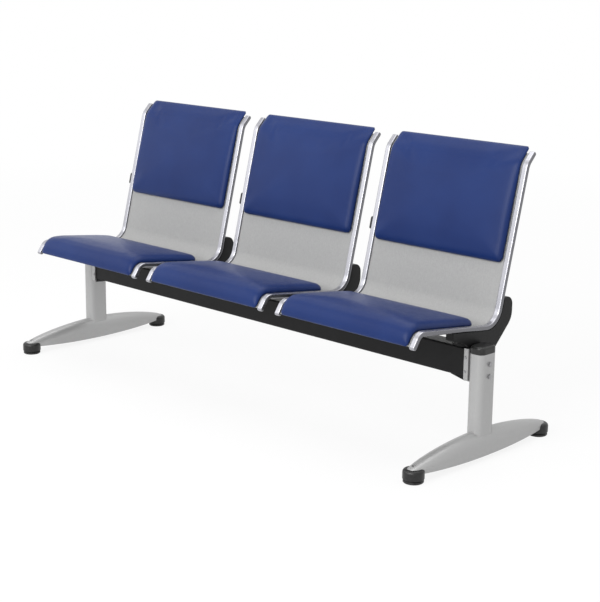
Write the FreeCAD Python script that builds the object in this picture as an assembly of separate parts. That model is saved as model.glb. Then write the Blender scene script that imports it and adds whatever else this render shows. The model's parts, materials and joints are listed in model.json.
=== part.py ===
import FreeCAD, Part
import math
import os

from FreeCAD import Vector

# A waiting bench: bent sheet seats in a row on one beam, between two legs with long feet.
# Millimetres, +Z up. The row runs along X, the seats face -Y, and the origin is on the floor
# under the middle of the bench.

# Driving dimensions

SEAT_COUNT = 3
SEAT_PITCH = 546.0
SEAT_WIDTH = 496.0
LEG_SPREAD = 1636.0

# Side line of a seat, as corners (Y, Z) from the front end over the seat and up the back
FRONT_END = (-246.0, 338.0)
FRONT_CORNER = (-223.0, 371.5)
SEAT_CORNER = (94.0, 333.5)
BACK_CORNER = (199.0, 757.0)
TOP_END = (225.0, 784.0)
FRONT_RADIUS = 24.0
SEAT_RADIUS = 55.0
BACK_RADIUS = 42.0

SHELL_THICKNESS = 2.0
SHELL_END_GAP = 2.0
RAIL_WIDTH = 18.0
RAIL_DEPTH = 13.0
RAIL_ROUNDING = 4.0
RAIL_GRIP = 5.0
RAIL_END_BULGE = 4.5

PAD_SIDE_GAP = 1.0
PAD_CLEARANCE = 0.3
SEAT_PAD_THICKNESS = 33.0
SEAT_PAD_LENGTH = 218.0
BACK_PAD_THICKNESS = 25.0
BACK_PAD_START = 122.0
BACK_PAD_OVERHANG = 8.0
BOARD_THICKNESS = 8.0
BOARD_INSET = 16.0

# Thickness of a pad as shares of its full one, at the start, middle and end of each stretch
SEAT_PAD_FULLNESS = ((0.50, 0.70, 0.80), (0.80, 0.88, 0.90), (0.90, 1.08, 0.90))
BACK_PAD_FULLNESS = ((0.85, 1.10, 0.86), (0.86, 0.80, 0.74), (0.74, 0.73, 0.66))
PAD_END_BULGE = 0.3

# Cross-sections of a pad from its side inward: distance, share of the fullness and shortening
PAD_STATIONS = (
    (0.0, 0.18, 13.0),
    (3.5, 0.44, 6.5),
    (11.0, 0.70, 2.5),
    (26.0, 0.90, 0.5),
    (60.0, 1.00, 0.0),
    (140.0, 1.04, 0.0),
)

BEAM_HEIGHT = 79.0
BEAM_DEPTH = 54.0
BEAM_WALL = 3.0
BEAM_CORNER = 5.0
BEAM_TOP = 297.0
GUSSET_LENGTH = 46.0
GUSSET_DROP = 10.0
GUSSET_WIDTH = 50.0

SADDLE_LENGTH = 9.0
SADDLE_WALL = 4.0
SADDLE_PLATE = 5.0
SADDLE_SCREW_RADIUS = 2.5
SADDLE_SCREW_HEAD_RADIUS = 3.8
SADDLE_SCREW_HEAD_HEIGHT = 2.0
SADDLE_SCREW_HEIGHTS = (16.0, 54.0)
LEG_BOLT_HEIGHTS = (9.0, 42.0)
NUT_PROUD = 2.0

COLUMN_WIDTH = 46.0
COLUMN_DEPTH = 68.0
COLUMN_CORNER = 17.0
COLUMN_WALL = 2.5
COLUMN_TOP = 288.0
COLUMN_SINK = 6.0
CAP_HEIGHT = 20.0
CAP_ROUNDING = 7.0
CAP_PLUG = 10.0
CAP_CLEARANCE = 0.2

ARM_HALF_LENGTH = 284.0
ARM_HALF_WIDTH = 30.0
ARM_TOP = 78.0
ARM_TIP_TOP = 36.0
ARM_BOTTOM = 12.0
ARM_TIP_BOTTOM = 25.0
ARM_TIP_HALF_WIDTH = 13.0
ARM_CORNER = 2.5
ARM_SHOULDER = 0.42
ARM_WALL = 5.0
ARM_HOLLOW_INSET = 58.0
ARM_RIB_INSETS = (109.0, 174.0)
ARM_RIB_THICKNESS = 4.0
ARM_RIB_LIFT = 10.0
ARM_STATIONS = (0.0, 0.2, 0.4, 0.58, 0.73, 0.85, 0.93, 0.98, 1.0)

GLIDE_INSET = 17.0
GLIDE_RADIUS = 27.0
GLIDE_HEIGHT = 9.0
GLIDE_GAP = 0.3
GLIDE_CHAMFER = 2.0
GLIDE_SHOULDER = 3.0
FOOT_CAP_RADIUS = 28.5
FOOT_CAP_TOP = 36.0
FOOT_CAP_ROUNDING = 9.0
FOOT_CAP_RIM = 2.0
STEM_RADIUS = 5.0
STEM_FIT = 0.05
STEM_TOP = 39.0
STEM_FLOOR = 3.0
STEM_DISC_RADIUS = 8.0
STEM_DISC_THICKNESS = 3.5
STEM_CHAMFER = 1.0

BRACKET_THICKNESS = 24.0
BRACKET_ROUNDING = 2.0
BRACKET_PLATE = 6.0
BRACKET_TAB = 34.0
BRACKET_TAB_MARGIN = 20.0
BRACKET_REACH = 96.0
BRACKET_NOSE_RISE = 31.0
BRACKET_ARM_RISE = 14.0
BRACKET_ARM_Y = -42.0
BRACKET_HEEL_DROP = 29.0
BRACKET_HEEL_LENGTH = 42.0
BRACKET_HORN_RISE = 114.0
BRACKET_HORN_Y = 155.0
BRACKET_HORN_WIDTH = 75.0
BRACKET_CLEARANCE = 0.3
SADDLE_CLEARANCE = 0.6
BASE_BOLT_SPACING = 30.0

BOLT_RADIUS = 4.0
BOLT_HEAD_RADIUS = 6.5
BOLT_HEAD_HEIGHT = 5.0
BOLT_CLEARANCE = 0.2
SCREW_RADIUS = 2.5
SCREW_HEAD_RADIUS = 5.5
SCREW_HEAD_HEIGHT = 2.6
THREAD_END = 5.0
SEAT_SCREW_SHARES = (0.16, 0.86)
BACK_SCREW_SHARES = (0.12, 0.86)
BRACKET_BOLT_SHARES = (0.46, 0.9)
SCREW_X = 140.0
LUG_WIDTH = 10.0
LUG_LENGTH = 28.0
LUG_DEPTH = 7.0
LUG_ROUNDING = 2.0
LUG_HEIGHT = 540.0

# Sizes worked out from the driving ones

HALF_SEAT = SEAT_WIDTH / 2
RAIL_INNER = HALF_SEAT - RAIL_WIDTH
PAD_HALF_WIDTH = RAIL_INNER - PAD_SIDE_GAP
SHELL_HALF_WIDTH = RAIL_INNER + RAIL_GRIP
SHELL_FACE = SHELL_THICKNESS / 2
RAIL_FACE = RAIL_DEPTH / 2
BEAM_BOTTOM = BEAM_TOP - BEAM_HEIGHT
LEG_X = LEG_SPREAD / 2
COLUMN_INNER_X = LEG_X - COLUMN_WIDTH / 2
COLUMN_OUTER_X = LEG_X + COLUMN_WIDTH / 2
BEAM_END_X = COLUMN_INNER_X - SADDLE_PLATE
GLIDE_Y = ARM_HALF_LENGTH - GLIDE_INSET
BEAM_HALF_DEPTH = BEAM_DEPTH / 2
HEEL_Y = BEAM_HALF_DEPTH + SADDLE_WALL + SADDLE_CLEARANCE
PLATE_HALF_DEPTH = BEAM_HALF_DEPTH - BEAM_CORNER / 2
BRACKET_INNER = HALF_SEAT - BRACKET_THICKNESS
BRACKET_BOLT_X = BRACKET_INNER - BRACKET_TAB / 2
SADDLE_SCREW_X = BEAM_END_X - SADDLE_LENGTH / 2
SADDLE_BOTTOM = BEAM_BOTTOM - GUSSET_DROP
COLUMN_FOOT = ARM_BOTTOM + COLUMN_SINK
CENTRES = [(index - (SEAT_COUNT - 1) / 2) * SEAT_PITCH for index in range(SEAT_COUNT)]


def save(name, shape):
    """Write one sub-part to its own file."""
    shape.exportStep("parts/%s.step" % name)


def group(solids):
    """Separate solids kept in one shape."""
    return Part.makeCompound(solids)


def mirrored(shape, side):
    """The shape itself on the right, or its mirror image on the left."""
    if side < 0:
        return shape.mirror(Vector(0, 0, 0), Vector(1, 0, 0))
    return shape


# Side line of the bent sheet

class Stretch:
    """A straight run or a bend of the side line, in the YZ plane."""

    def __init__(self, start, end, centre=None, turn=0.0):
        self.start = start
        self.end = end
        self.centre = centre
        self.turn = turn

    def length(self):
        if self.centre is None:
            return (self.end - self.start).Length
        return abs(self.turn) * (self.start - self.centre).Length

    def point(self, share, offset):
        """The point at a share of the stretch, offset to the sitter's side."""
        if self.centre is None:
            along = (self.end - self.start).normalize()
            place = self.start + (self.end - self.start) * share
            return place + Vector(0, -along.z, along.y) * offset
        arm = self.start - self.centre
        angle = self.turn * share
        turned = Vector(0, arm.y * math.cos(angle) - arm.z * math.sin(angle),
                        arm.y * math.sin(angle) + arm.z * math.cos(angle))
        radius = arm.Length
        outward = -1 if self.turn > 0 else 1
        return self.centre + turned * ((radius + outward * offset) / radius)

    def part(self, first, last):
        """The same stretch between two shares of its length."""
        start = self.point(first, 0)
        end = self.point(last, 0)
        return Stretch(start, end, self.centre, self.turn * (last - first))


def side_line(corners, radii):
    """Straight runs joined by tangent bends, one bend at each inner corner."""
    points = [Vector(0, y, z) for y, z in corners]
    stretches = []
    start = points[0]
    for before, corner, after, radius in zip(points, points[1:], points[2:], radii):
        inward = (corner - before).normalize()
        outward = (after - corner).normalize()
        turn = math.atan2(inward.y * outward.z - inward.z * outward.y, inward.dot(outward))
        setback = radius * math.tan(abs(turn) / 2)
        first = corner - inward * setback
        last = corner + outward * setback
        side = 1 if turn > 0 else -1
        centre = first + Vector(0, -inward.z, inward.y) * (side * radius)
        stretches.append(Stretch(start, first))
        stretches.append(Stretch(first, last, centre, turn))
        start = last
    stretches.append(Stretch(start, points[-1]))
    return stretches


SIDE = side_line(
    [FRONT_END, FRONT_CORNER, SEAT_CORNER, BACK_CORNER, TOP_END],
    [FRONT_RADIUS, SEAT_RADIUS, BACK_RADIUS])
FRONT_RUN, FRONT_BEND, SEAT_RUN, SEAT_BEND, BACK_RUN, BACK_BEND, TOP_RUN = SIDE


def moved(point, x):
    return Vector(x, point.y, point.z)


def line(first, last):
    return Part.LineSegment(first, last).toShape()


def arc(first, middle, last):
    return Part.Arc(first, middle, last).toShape()


def edge_along(stretch, x, offset):
    """The edge of one stretch at an even offset."""
    first = moved(stretch.point(0, offset), x)
    last = moved(stretch.point(1, offset), x)
    if stretch.centre is None:
        return line(first, last)
    return arc(first, moved(stretch.point(0.5, offset), x), last)


def end_edge(first, last, outward, bulge):
    """The end of a strip: straight, or an arc that bulges outward."""
    if bulge == 0:
        return line(first, last)
    return arc(first, (first + last) * 0.5 + outward * bulge, last)


def strip_face(stretches, x, low, high, bulge=0.0):
    """A strip along the side line between two offsets, as a face square to X."""
    lower = [edge_along(stretch, x, low) for stretch in stretches]
    upper = [edge_along(stretch, x, high) for stretch in reversed(stretches)]
    first = stretches[0]
    last = stretches[-1]
    away_end = (last.point(1, 0) - last.point(0.99, 0)).normalize()
    away_start = (first.point(0, 0) - first.point(0.01, 0)).normalize()
    end = end_edge(moved(last.point(1, low), x), moved(last.point(1, high), x), away_end, bulge)
    start = end_edge(moved(first.point(0, high), x), moved(first.point(0, low), x),
                     away_start, bulge)
    return Part.Face(Part.Wire(Part.__sortEdges__(lower + [end] + upper + [start])))


def strip(stretches, x_low, x_high, low, high, bulge=0.0):
    """A strip along the side line as a solid between two places on X."""
    face = strip_face(stretches, x_low, low, high, bulge)
    return face.extrude(Vector(x_high - x_low, 0, 0))


def shortened(stretches, at_start, at_end):
    """The same stretches with a length taken off the first and the last."""
    first = stretches[0]
    last = stretches[-1]
    if len(stretches) == 1:
        whole = first.length()
        return [first.part(at_start / whole, 1 - at_end / whole)]
    head = first.part(at_start / first.length(), 1)
    tail = last.part(0, 1 - at_end / last.length())
    return [head] + stretches[1:-1] + [tail]


def on_x(solid, face_x):
    """The edges of a solid that lie in the plane at one place on X."""
    found = []
    for edge in solid.Edges:
        box = edge.BoundBox
        if abs(box.XMin - face_x) < 0.001 and abs(box.XMax - face_x) < 0.001:
            found.append(edge)
    return found


# Seat shell and its side rails

SHELL_SIDE = shortened(SIDE, SHELL_END_GAP, SHELL_END_GAP)
SEAT_PAD_RUN = [FRONT_RUN, FRONT_BEND, SEAT_RUN.part(0, SEAT_PAD_LENGTH / SEAT_RUN.length())]
BACK_PAD_RUN = [BACK_RUN.part(BACK_PAD_START / BACK_RUN.length(), 1), BACK_BEND,
                TOP_RUN.part(0, 1 + BACK_PAD_OVERHANG / TOP_RUN.length())]


def square_to(stretch, share, x, offset):
    """A place on the side line and the direction square to it, away from the sitter."""
    foot = moved(stretch.point(share, offset), x)
    away = stretch.point(share, offset - 1) - stretch.point(share, offset)
    return foot, away


def peg(stretch, share, x, top, bottom, radius):
    """A round peg square to the side line, between two offsets."""
    foot, away = square_to(stretch, share, x, top)
    return Part.makeCylinder(radius, top - bottom, foot, away)


def screw_places():
    """Every pad screw of a seat: its stretch, its share of that stretch and its X."""
    places = []
    for side in (-SCREW_X, SCREW_X):
        for share in SEAT_SCREW_SHARES:
            places.append((SEAT_PAD_RUN[2], share, side))
        for share in BACK_SCREW_SHARES:
            places.append((BACK_PAD_RUN[0], share, side))
    return places


def seat_bolt_places():
    """Every bolt that holds the sheet to a bracket."""
    places = []
    for side in (-BRACKET_BOLT_X, BRACKET_BOLT_X):
        for share in BRACKET_BOLT_SHARES:
            places.append((SEAT_RUN, share, side))
    return places


def seat_shell():
    """The bent sheet, with its screw and bolt holes."""
    sheet = strip(SHELL_SIDE, -SHELL_HALF_WIDTH, SHELL_HALF_WIDTH, -SHELL_FACE, SHELL_FACE)
    reach = SHELL_THICKNESS
    holes = []
    for stretch, share, x in screw_places():
        holes.append(peg(stretch, share, x, reach, -reach, SCREW_RADIUS + BOLT_CLEARANCE))
    for stretch, share, x in seat_bolt_places():
        holes.append(peg(stretch, share, x, reach, -reach, BOLT_RADIUS + BOLT_CLEARANCE))
    return sheet.cut(holes)


def side_rail(side):
    """A rounded rail that grips the edge of the sheet from its front end to its top."""
    rail = strip(SIDE, RAIL_INNER, HALF_SEAT, -RAIL_FACE, RAIL_FACE, RAIL_END_BULGE)
    rail = rail.makeFillet(RAIL_ROUNDING, on_x(rail, RAIL_INNER) + on_x(rail, HALF_SEAT))
    slot = strip(SHELL_SIDE, 0, SHELL_HALF_WIDTH, -SHELL_FACE, SHELL_FACE)
    return mirrored(rail.cut(slot), side)


def rail_lug():
    """A moulded lug on the outer side of the left rail, beside the foot of the back pad."""
    share = (LUG_HEIGHT - BACK_RUN.start.z) / (BACK_RUN.end.z - BACK_RUN.start.z)
    reach = LUG_LENGTH / BACK_RUN.length() / 2
    stretch = BACK_RUN.part(share - reach, share + reach)
    outer = -HALF_SEAT - LUG_DEPTH
    lug = strip([stretch], -HALF_SEAT, outer, -LUG_WIDTH / 2, LUG_WIDTH / 2, LUG_WIDTH / 2.5)
    return lug.makeFillet(LUG_ROUNDING, on_x(lug, outer))


# Padding: lofts across the seat, thin and short at the sides and full in the middle


def pad_wire(stretches, x, depths, bulge):
    """One cross-section: a flat underside, rolled ends and a crowned face."""
    low = SHELL_FACE + PAD_CLEARANCE
    lower = [edge_along(stretch, x, low) for stretch in stretches]
    upper = []
    for stretch, (first, middle, last) in zip(stretches, depths):
        upper.append(arc(
            moved(stretch.point(0, first), x),
            moved(stretch.point(0.5, middle), x),
            moved(stretch.point(1, last), x)))
    head = stretches[0]
    tail = stretches[-1]
    away_end = (tail.point(1, 0) - tail.point(0.99, 0)).normalize()
    away_start = (head.point(0, 0) - head.point(0.01, 0)).normalize()
    end = end_edge(moved(tail.point(1, low), x), moved(tail.point(1, depths[-1][2]), x),
                   away_end, bulge)
    start = end_edge(moved(head.point(0, depths[0][0]), x), moved(head.point(0, low), x),
                     away_start, bulge)
    return Part.Wire(lower + [end] + upper[::-1] + [start])


def pad_loft(stretches, depths, inset_start, inset_end):
    """Padding along the side line, through cross-sections from side to side."""
    places = []
    for inward, fullness, inset in PAD_STATIONS:
        places.append((-PAD_HALF_WIDTH + inward, fullness, inset))
    for inward, fullness, inset in reversed(PAD_STATIONS):
        places.append((PAD_HALF_WIDTH - inward, fullness, inset))
    wires = []
    for x, fullness, inset in places:
        shorter = shortened(stretches, inset * inset_start, inset * inset_end)
        scaled = [tuple(depth * fullness for depth in stretch) for stretch in depths]
        wires.append(pad_wire(shorter, x, scaled, scaled[0][0] * PAD_END_BULGE))
    return Part.makeLoft(wires, True, False)


def pad_plate(stretches):
    """The room of the board in the underside of its pad."""
    inner = shortened(stretches, BOARD_INSET, BOARD_INSET)
    half = PAD_HALF_WIDTH - BOARD_INSET
    return strip(inner, -half, half, SHELL_FACE, SHELL_FACE + BOARD_THICKNESS)


def board(stretches):
    """The bent board inside a pad, with holes for the screws that go into its stretches."""
    holes = []
    for stretch, share, x in screw_places():
        if stretch in stretches:
            holes.append(peg(stretch, share, x, SHELL_FACE + BOARD_THICKNESS, 0,
                             SCREW_RADIUS + STEM_FIT))
    return pad_plate(stretches).cut(holes)


def pad(stretches, thickness, fullness, at_start, at_end):
    """A pad of one thickness, with the room for its board cut out."""
    depths = [tuple(thickness * share for share in stretch) for stretch in fullness]
    return pad_loft(stretches, depths, at_start, at_end).cut(pad_plate(stretches))


def pad_screws():
    """Flat-headed screws from under the sheet into the boards."""
    screws = []
    for stretch, share, x in screw_places():
        shank = peg(stretch, share, x, BOARD_THICKNESS, -SHELL_FACE, SCREW_RADIUS)
        head = peg(stretch, share, x, -SHELL_FACE, -SHELL_FACE - SCREW_HEAD_HEIGHT,
                   SCREW_HEAD_RADIUS)
        screws.append(shank.fuse(head).removeSplitter())
    return group(screws)


# Brackets that carry a seat on the beam

def rounded_outline(corners, radii):
    """A closed outline in the YZ plane at X 0: straight sides with an arc at each corner."""
    points = [Vector(0, y, z) for y, z in corners]
    before = points[-1:] + points[:-1]
    after = points[1:] + points[:1]
    starts = []
    bends = []
    for previous, corner, following, radius in zip(before, points, after, radii):
        back = (previous - corner).normalize()
        ahead = (following - corner).normalize()
        half = back.getAngle(ahead) / 2
        reach = radius / math.tan(half)
        middle = (back + ahead).normalize() * (radius / math.sin(half) - radius)
        starts.append((corner + back * reach, corner + ahead * reach))
        bends.append((radius, corner + middle))
    edges = []
    for number, ((first, last), (radius, middle)) in enumerate(zip(starts, bends)):
        if radius > 0:
            edges.append(arc(first, middle, last))
        edges.append(line(last, starts[(number + 1) % len(starts)][0]))
    return Part.Face(Part.Wire(edges))


def bracket_outline():
    """The J of a bracket: forward arm, foot on the beam, heel behind it and the rear horn."""
    heel = -BRACKET_HEEL_DROP
    slope_y = HEEL_Y + BRACKET_HEEL_LENGTH
    slope_end = heel + BRACKET_HORN_Y - slope_y
    front = BRACKET_HORN_Y - BRACKET_HORN_WIDTH
    nose_top = 2 * BRACKET_NOSE_RISE
    corners = (
        ((-BRACKET_REACH, nose_top), 0.0),
        ((-BRACKET_REACH, BRACKET_NOSE_RISE), 6.0),
        ((BRACKET_ARM_Y, BRACKET_ARM_RISE), 16.0),
        ((-PLATE_HALF_DEPTH, 0.0), 0.0),
        ((HEEL_Y, 0.0), 0.0),
        ((HEEL_Y, heel), 6.0),
        ((slope_y, heel), 22.0),
        ((BRACKET_HORN_Y, slope_end), 50.0),
        ((BRACKET_HORN_Y, BRACKET_HORN_RISE), 24.0),
        ((front, BRACKET_HORN_RISE), 0.0),
        ((front, nose_top), 0.0),
    )
    return rounded_outline([place for place, radius in corners], [radius for place, radius in corners])


def room_above(x_low, x_high, offset):
    """The space over the seat and before the back, bounded by one offset of the side line."""
    lower = [edge_along(stretch, x_low, offset) for stretch in (SEAT_RUN, SEAT_BEND, BACK_RUN)]
    first = moved(SEAT_RUN.point(0, offset), x_low)
    last = moved(BACK_RUN.point(1, offset), x_low)
    corner = Vector(x_low, first.y, last.z)
    face = Part.Face(Part.Wire(lower + [line(last, corner), line(corner, first)]))
    return face.extrude(Vector(x_high - x_low, 0, 0))


def base_bolt_places():
    """Where the bolts of one bracket go into the beam: X on the seat and Y."""
    half = BASE_BOLT_SPACING / 2
    return [(BRACKET_BOLT_X, -half), (BRACKET_BOLT_X, half)]


def bracket(side):
    """A cast bracket with a plate on the beam and a tab under the sheet."""
    outer = HALF_SEAT
    inner = BRACKET_INNER
    step = RAIL_INNER - BRACKET_CLEARANCE
    web = bracket_outline().extrude(Vector(BRACKET_THICKNESS, 0, 0))
    web.translate(Vector(inner, 0, BEAM_TOP))
    web = web.makeFillet(BRACKET_ROUNDING, on_x(web, outer))
    web = web.cut([room_above(step, outer + 1, -RAIL_FACE),
                   room_above(inner - 1, step, -SHELL_FACE)])
    plate = Part.makeBox(BRACKET_TAB, 2 * PLATE_HALF_DEPTH, BRACKET_PLATE,
                         Vector(inner - BRACKET_TAB, -PLATE_HALF_DEPTH, BEAM_TOP))
    margin = BRACKET_TAB_MARGIN / SEAT_RUN.length()
    tab_run = SEAT_RUN.part(BRACKET_BOLT_SHARES[0] - margin, BRACKET_BOLT_SHARES[1] + margin)
    tab = strip([tab_run], inner - BRACKET_TAB, inner, -SHELL_FACE - BRACKET_PLATE, -SHELL_FACE)
    solid = web.fuse([plate, tab]).removeSplitter()
    holes = []
    for x, y in base_bolt_places():
        holes.append(Part.makeCylinder(BOLT_RADIUS + BOLT_CLEARANCE, BRACKET_PLATE,
                                       Vector(x, y, BEAM_TOP)))
    for share in BRACKET_BOLT_SHARES:
        holes.append(peg(SEAT_RUN, share, BRACKET_BOLT_X, 0, -SHELL_FACE - BRACKET_PLATE - 1,
                         BOLT_RADIUS + BOLT_CLEARANCE))
    return mirrored(solid.cut(holes), side)


def hex_prism(radius, height, base, direction):
    """A hexagonal head or nut."""
    prism = Part.makePolygon([Vector(radius * math.cos(math.radians(60 * corner)),
                                     radius * math.sin(math.radians(60 * corner)), 0)
                              for corner in range(7)])
    solid = Part.Face(prism).extrude(Vector(0, 0, height))
    solid.Placement = FreeCAD.Placement(base, FreeCAD.Rotation(Vector(0, 0, 1), direction))
    return solid


def bolt(seat, direction, grip):
    """A hex bolt: its head on the seat, its shank the other way along the direction."""
    head = hex_prism(BOLT_HEAD_RADIUS, BOLT_HEAD_HEIGHT, seat, direction * -1)
    shank = Part.makeCylinder(BOLT_RADIUS, grip, seat, direction)
    return shank.fuse(head).removeSplitter()


def bracket_bolts():
    """The bolts of one seat: two into the beam and two into the sheet on each side."""
    bolts = []
    down = Vector(0, 0, -1)
    for side in (-1, 1):
        for x, y in base_bolt_places():
            bolts.append(bolt(Vector(side * x, y, BEAM_TOP + BRACKET_PLATE), down,
                              BRACKET_PLATE + BEAM_WALL + THREAD_END))
    for stretch, share, x in seat_bolt_places():
        foot, away = square_to(stretch, share, x, -SHELL_FACE - BRACKET_PLATE)
        bolts.append(bolt(foot, away * -1, BRACKET_PLATE + SHELL_THICKNESS))
    return group(bolts)


# Beam

def rounded_prism(half_x, half_y, corner, low, high, centre_x=0.0):
    """An upright prism with rounded corners."""
    box = Part.makeBox(2 * half_x, 2 * half_y, high - low,
                       Vector(centre_x - half_x, -half_y, low))
    upright = [edge for edge in box.Edges if edge.BoundBox.ZLength > high - low - 0.001]
    return box.makeFillet(corner, upright)


def beam_prism(half_length, shrink, corner):
    """The beam's rounded section, shrunk evenly, over a length along X."""
    box = Part.makeBox(2 * half_length, BEAM_DEPTH - 2 * shrink, BEAM_HEIGHT - 2 * shrink,
                       Vector(-half_length, -BEAM_HALF_DEPTH + shrink, BEAM_BOTTOM + shrink))
    along = [edge for edge in box.Edges if edge.BoundBox.XLength > 2 * half_length - 0.001]
    return box.makeFillet(corner, along)


def gusset(side):
    """The wedge welded under the beam beside a leg."""
    end = side * (BEAM_END_X - SADDLE_LENGTH)
    tip = side * (BEAM_END_X - SADDLE_LENGTH - GUSSET_LENGTH)
    half = GUSSET_WIDTH / 2
    corners = [Vector(end, -half, BEAM_BOTTOM), Vector(end, -half, SADDLE_BOTTOM),
               Vector(tip, -half, BEAM_BOTTOM), Vector(end, -half, BEAM_BOTTOM)]
    return Part.Face(Part.makePolygon(corners)).extrude(Vector(0, GUSSET_WIDTH, 0))


def side_hole(x, height, radius):
    """A hole in the front of the beam's end, at a height over its underside."""
    start = -BEAM_HALF_DEPTH - 2 * SADDLE_WALL
    return Part.makeCylinder(radius, 3 * SADDLE_WALL, Vector(x, start, BEAM_BOTTOM + height),
                             Vector(0, 1, 0))


def beam_tube():
    """The beam: a rounded tube with bolt holes and a wedge under each end."""
    tube = beam_prism(BEAM_END_X, 0, BEAM_CORNER)
    tube = tube.cut(beam_prism(BEAM_END_X + 1, BEAM_WALL, BEAM_CORNER - BEAM_WALL))
    tube = tube.fuse([gusset(-1), gusset(1)]).removeSplitter()
    low = BEAM_TOP - 1.5 * BEAM_WALL
    holes = []
    for centre in CENTRES:
        for side in (-1, 1):
            for x, y in base_bolt_places():
                holes.append(Part.makeCylinder(BOLT_RADIUS + BOLT_CLEARANCE, 2 * BEAM_WALL,
                                               Vector(centre + side * x, y, low)))
    for side in (-1, 1):
        for height in SADDLE_SCREW_HEIGHTS:
            holes.append(side_hole(side * SADDLE_SCREW_X, height,
                                   SADDLE_SCREW_RADIUS + BOLT_CLEARANCE))
    return tube.cut(holes)


# Legs

def saddle(side):
    """The open-topped socket of a leg that takes the end of the beam."""
    half = BEAM_HALF_DEPTH + SADDLE_WALL
    inner_x = BEAM_END_X - SADDLE_LENGTH
    block = Part.makeBox(COLUMN_INNER_X - inner_x, 2 * half, BEAM_TOP - SADDLE_BOTTOM,
                         Vector(inner_x, -half, SADDLE_BOTTOM))
    long_low = [edge for edge in block.Edges
                if edge.BoundBox.XLength > 1 and edge.BoundBox.ZMax < SADDLE_BOTTOM + 0.001]
    block = block.makeFillet(BEAM_CORNER + SADDLE_WALL, long_low)
    room = beam_prism(BEAM_END_X, 0, BEAM_CORNER)
    top = Part.makeBox(2 * BEAM_END_X, BEAM_DEPTH, BEAM_CORNER + 1,
                       Vector(-BEAM_END_X, -BEAM_HALF_DEPTH, BEAM_TOP - BEAM_CORNER))
    holes = [side_hole(SADDLE_SCREW_X, height, SADDLE_SCREW_RADIUS + BOLT_CLEARANCE)
             for height in SADDLE_SCREW_HEIGHTS]
    holes += [leg_hole(BEAM_END_X - 1, 2 * SADDLE_PLATE, height) for height in LEG_BOLT_HEIGHTS]
    return mirrored(block.cut([room, top] + holes), side)


def leg_hole(x, length, height):
    """A hole along X for a leg bolt, at a height over the beam's underside."""
    return Part.makeCylinder(BOLT_RADIUS + BOLT_CLEARANCE, length,
                             Vector(x, 0, BEAM_BOTTOM + height), Vector(1, 0, 0))


def column(side):
    """The oval upright tube, through the arm's roof and up to the beam."""
    outer = rounded_prism(COLUMN_WIDTH / 2, COLUMN_DEPTH / 2, COLUMN_CORNER,
                          COLUMN_FOOT, COLUMN_TOP, LEG_X)
    inner = rounded_prism(COLUMN_WIDTH / 2 - COLUMN_WALL, COLUMN_DEPTH / 2 - COLUMN_WALL,
                          COLUMN_CORNER - COLUMN_WALL, COLUMN_FOOT - 1, COLUMN_TOP + 1, LEG_X)
    holes = [leg_hole(COLUMN_INNER_X - 1, COLUMN_WIDTH + 2, height) for height in LEG_BOLT_HEIGHTS]
    return mirrored(outer.cut([inner] + holes), side)


def column_cap(side):
    """The moulded cap that plugs the top of a column."""
    lid = rounded_prism(COLUMN_WIDTH / 2, COLUMN_DEPTH / 2, COLUMN_CORNER,
                        COLUMN_TOP, COLUMN_TOP + CAP_HEIGHT, LEG_X)
    rim = [edge for edge in lid.Edges if edge.BoundBox.ZMin > COLUMN_TOP + CAP_HEIGHT - 0.001]
    lid = lid.makeFillet(CAP_ROUNDING, rim)
    slack = COLUMN_WALL + CAP_CLEARANCE
    plug = rounded_prism(COLUMN_WIDTH / 2 - slack, COLUMN_DEPTH / 2 - slack,
                         COLUMN_CORNER - slack, COLUMN_TOP - CAP_PLUG, COLUMN_TOP, LEG_X)
    return mirrored(lid.fuse(plug).removeSplitter(), side)


def leg_bolts(side):
    """Two bolts through column and saddle, with nuts, and two screws into the beam's front."""
    bolts = []
    for height in LEG_BOLT_HEIGHTS:
        z = BEAM_BOTTOM + height
        through = bolt(Vector(COLUMN_OUTER_X, 0, z), Vector(-1, 0, 0),
                       COLUMN_WIDTH + SADDLE_PLATE + BOLT_HEAD_HEIGHT + NUT_PROUD)
        nut = hex_prism(BOLT_HEAD_RADIUS, BOLT_HEAD_HEIGHT, Vector(BEAM_END_X, 0, z),
                        Vector(-1, 0, 0))
        bolts.append(through.fuse(nut).removeSplitter())
    for height in SADDLE_SCREW_HEIGHTS:
        place = Vector(SADDLE_SCREW_X, -BEAM_HALF_DEPTH - SADDLE_WALL, BEAM_BOTTOM + height)
        head = Part.makeCylinder(SADDLE_SCREW_HEAD_RADIUS, SADDLE_SCREW_HEAD_HEIGHT, place,
                                 Vector(0, -1, 0))
        head = head.makeFillet(SADDLE_SCREW_HEAD_HEIGHT / 2, [
            edge for edge in head.Edges
            if edge.BoundBox.YMax < place.y - SADDLE_SCREW_HEAD_HEIGHT + 0.001])
        shank = Part.makeCylinder(SADDLE_SCREW_RADIUS, SADDLE_WALL + BEAM_WALL + THREAD_END, place,
                                  Vector(0, 1, 0))
        bolts.append(shank.fuse(head).removeSplitter())
    return mirrored(group(bolts), side)


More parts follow.
